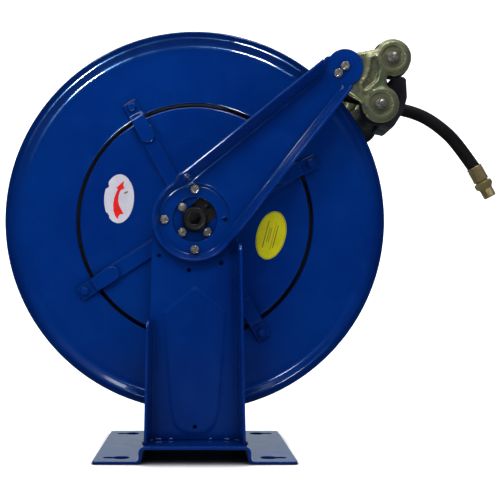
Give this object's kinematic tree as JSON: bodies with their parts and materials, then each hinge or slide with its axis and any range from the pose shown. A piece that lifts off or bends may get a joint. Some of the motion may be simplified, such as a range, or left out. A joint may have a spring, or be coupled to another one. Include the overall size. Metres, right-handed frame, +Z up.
{
  "type": "spring-rewind hose reel",
  "caption": "Floor-standing spring-rewind hose reel: drum between two channel posts on a bent base, guide arms with a roller hose guide, hose stop and short hose tail.",
  "frame": {"origin": "on the floor under the middle of the whole object, hose tail included; the reel axis passes through x = -0.1019 m, z = 0.377 m", "axes": "+Z up; the reel axis is parallel to Y with the spring arbor at the front, -Y; the hose leaves towards +X"},
  "size_m": [0.8138, 0.314, 0.682],
  "materials": {
    "blue_paint": "high-gloss royal blue powder coat",
    "yellow_zinc": "yellow iridescent zinc plating, satin",
    "bright_zinc": "bright zinc plating",
    "black_steel": "black oxide, satin",
    "hose_rubber": "smooth black rubber cover, satin",
    "black_plastic": "moulded black, matt",
    "spring_steel": "blued spring steel",
    "brass": "machined brass",
    "steel": "plain machined steel"
  },
  "bodies": {
    "frame": {"base_plate": "blue_paint", "front_post": "blue_paint", "rear_post": "blue_paint", "front_arm": "blue_paint", "rear_arm": "blue_paint", "front_bearing_flange": "black_steel", "rear_bearing_flange": "black_steel", "spring_arbor": "black_steel", "front_arm_bolt_1": "bright_zinc", "rear_arm_bolt_1": "bright_zinc", "front_arm_bolt_2": "bright_zinc", "rear_arm_bolt_2": "bright_zinc", "front_arm_bolt_3": "bright_zinc", "rear_arm_bolt_3": "bright_zinc", "front_flange_bolt_1": "bright_zinc", "rear_flange_bolt_1": "bright_zinc", "front_flange_bolt_2": "bright_zinc", "rear_flange_bolt_2": "bright_zinc", "front_flange_bolt_3": "bright_zinc", "rear_flange_bolt_3": "bright_zinc", "front_guide_bolt_1": "bright_zinc", "rear_guide_bolt_1": "bright_zinc", "front_guide_bolt_2": "bright_zinc", "rear_guide_bolt_2": "bright_zinc", "front_guide_plate": "yellow_zinc", "rear_guide_plate": "yellow_zinc", "upper_roller_pin": "bright_zinc", "lower_roller_pin": "bright_zinc", "pawl_pin": "bright_zinc", "pawl_spring": "spring_steel", "hose_run": "hose_rubber"},
    "drum": {"front_flange_ring": "blue_paint", "rear_flange_ring": "blue_paint", "front_hub_disc": "blue_paint", "rear_hub_disc": "blue_paint", "drum_barrel": "blue_paint", "hose_wraps": "hose_rubber", "drum_axle": "steel", "hose_riser": "steel", "spring_bush": "brass", "spring_case": "black_steel", "power_spring": "spring_steel", "ratchet_wheel": "steel", "front_strap_1": "blue_paint", "rear_strap_1": "blue_paint", "front_strap_2": "blue_paint", "rear_strap_2": "blue_paint", "front_strap_3": "blue_paint", "rear_strap_3": "blue_paint", "front_strap_4": "blue_paint", "rear_strap_4": "blue_paint"},
    "hose_tail": {"hose_stop_front": "black_plastic", "hose_stop_rear": "black_plastic", "hose_tail": "hose_rubber", "hose_ferrule": "bright_zinc", "hose_fitting": "brass"},
    "lower_roller": {"lower_roller": "black_plastic"},
    "upper_roller": {"upper_roller": "black_plastic"},
    "pawl": {"pawl": "steel"},
    "inlet_swivel": {"inlet_swivel": "brass"}
  },
  "joints": [
    {"name": "drum_spin", "type": "hinge", "parent": "frame", "child": "drum", "pos_m": [-0.10191, 0, 0.377], "axis": [0, 1, 0], "range_deg": [0, 1800]},
    {"name": "hose_pull", "type": "slide", "parent": "frame", "child": "hose_tail", "axis": [1, 0, 0], "range_m": [0, 8.7022]},
    {"name": "lower_roller_spin", "type": "hinge", "parent": "frame", "child": "lower_roller", "pos_m": [0.19267, 0, 0.56028], "axis": [0, 1, 0], "continuous": true},
    {"name": "upper_roller_spin", "type": "hinge", "parent": "frame", "child": "upper_roller", "pos_m": [0.21174, 0, 0.63406], "axis": [0, 1, 0], "continuous": true},
    {"name": "pawl_rock", "type": "hinge", "parent": "frame", "child": "pawl", "pos_m": [-0.14691, 0, 0.302], "axis": [0, 1, 0], "range_deg": [-8, 12]},
    {"name": "inlet_turn", "type": "hinge", "parent": "frame", "child": "inlet_swivel", "pos_m": [-0.10191, 0, 0.377], "axis": [0, 1, 0], "continuous": true}
  ],
  "couplings": [
    {"joint": "hose_pull", "follows": "drum_spin", "m_per_rad": 0.277},
    {"joint": "lower_roller_spin", "follows": "drum_spin", "ratio": 17.871}
  ]
}
